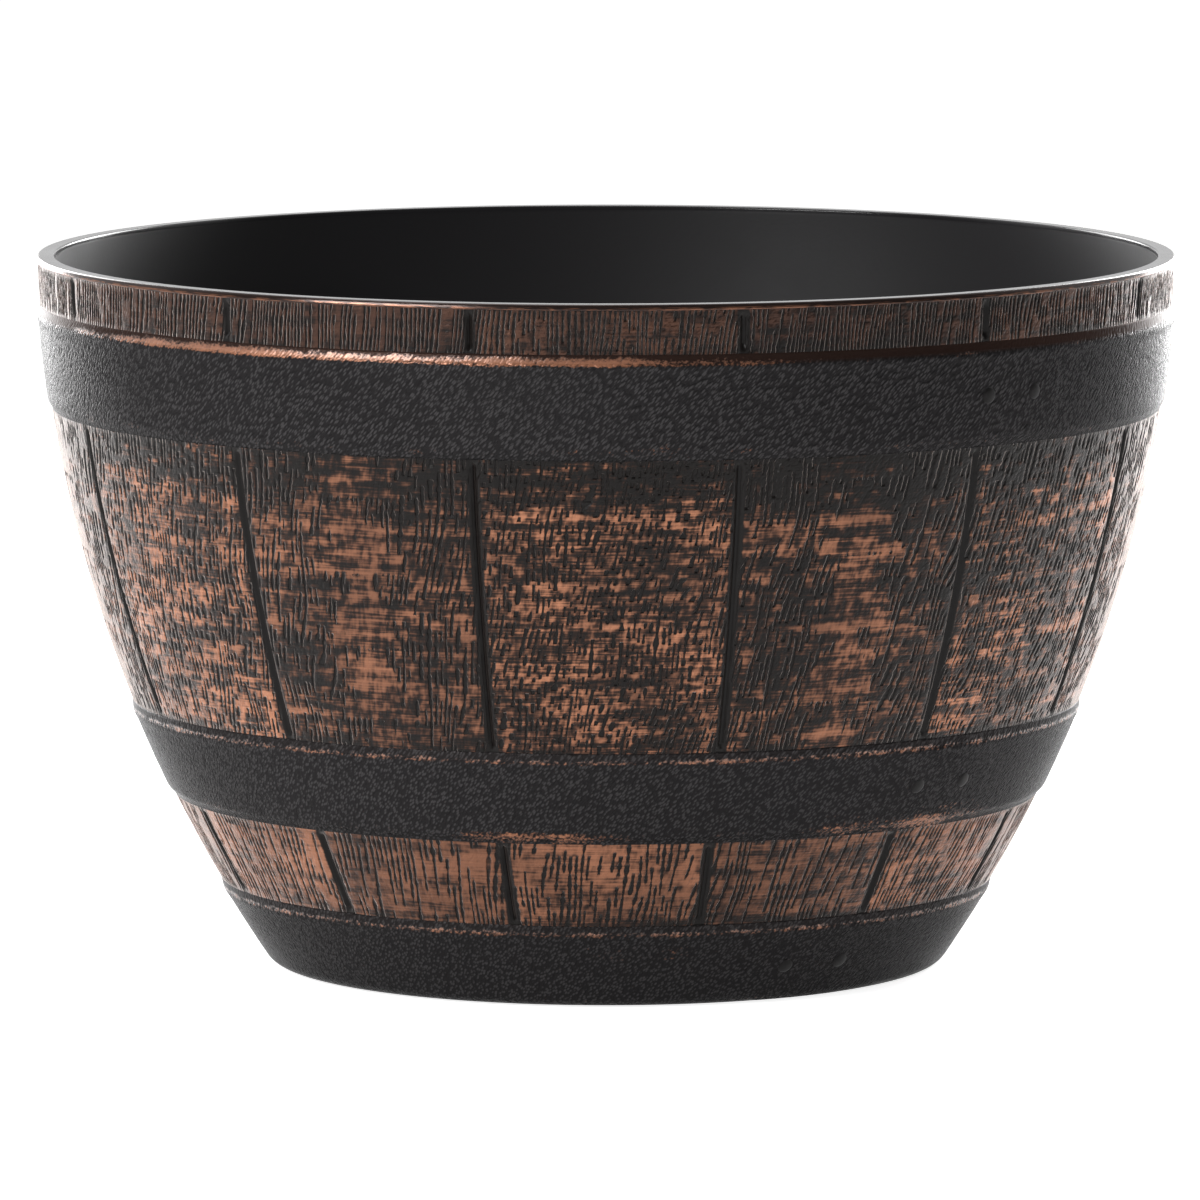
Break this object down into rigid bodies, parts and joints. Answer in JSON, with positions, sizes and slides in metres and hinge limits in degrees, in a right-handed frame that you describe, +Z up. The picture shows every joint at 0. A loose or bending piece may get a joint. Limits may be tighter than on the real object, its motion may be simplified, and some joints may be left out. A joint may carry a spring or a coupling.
{
  "type": "half barrel planter",
  "caption": "Round planter shaped like a sawn-off barrel: a one-piece resin tub with stave grooves, raised hoops and an open top, and pull-out rubber plugs in its drain holes.",
  "frame": {"origin": "middle of the foot ring, on the ground", "axes": "+Z up along the planter's axis, -Y towards the side that the picture shows, +X to that viewer's right"},
  "size_m": [0.3999, 0.4, 0.25],
  "materials": {
    "barrel_resin": "black resin, copper dry-brushed over the wood grain of the staves, pebble grain on the hoops",
    "plug_rubber": "smooth black moulded rubber"
  },
  "bodies": {
    "tub": {"barrel_shell": "barrel_resin"},
    "plug_1": {"drain_plug_1": "plug_rubber"},
    "plug_2": {"drain_plug_2": "plug_rubber"},
    "plug_3": {"drain_plug_3": "plug_rubber"},
    "plug_4": {"drain_plug_4": "plug_rubber"}
  },
  "joints": [
    {"name": "plug_1_pull", "type": "slide", "parent": "tub", "child": "plug_1", "axis": [0, 0, 1], "range_m": [0, 0.26]},
    {"name": "plug_2_pull", "type": "slide", "parent": "tub", "child": "plug_2", "axis": [0, 0, 1], "range_m": [0, 0.26]},
    {"name": "plug_3_pull", "type": "slide", "parent": "tub", "child": "plug_3", "axis": [0, 0, 1], "range_m": [0, 0.26]},
    {"name": "plug_4_pull", "type": "slide", "parent": "tub", "child": "plug_4", "axis": [0, 0, 1], "range_m": [0, 0.26]}
  ]
}
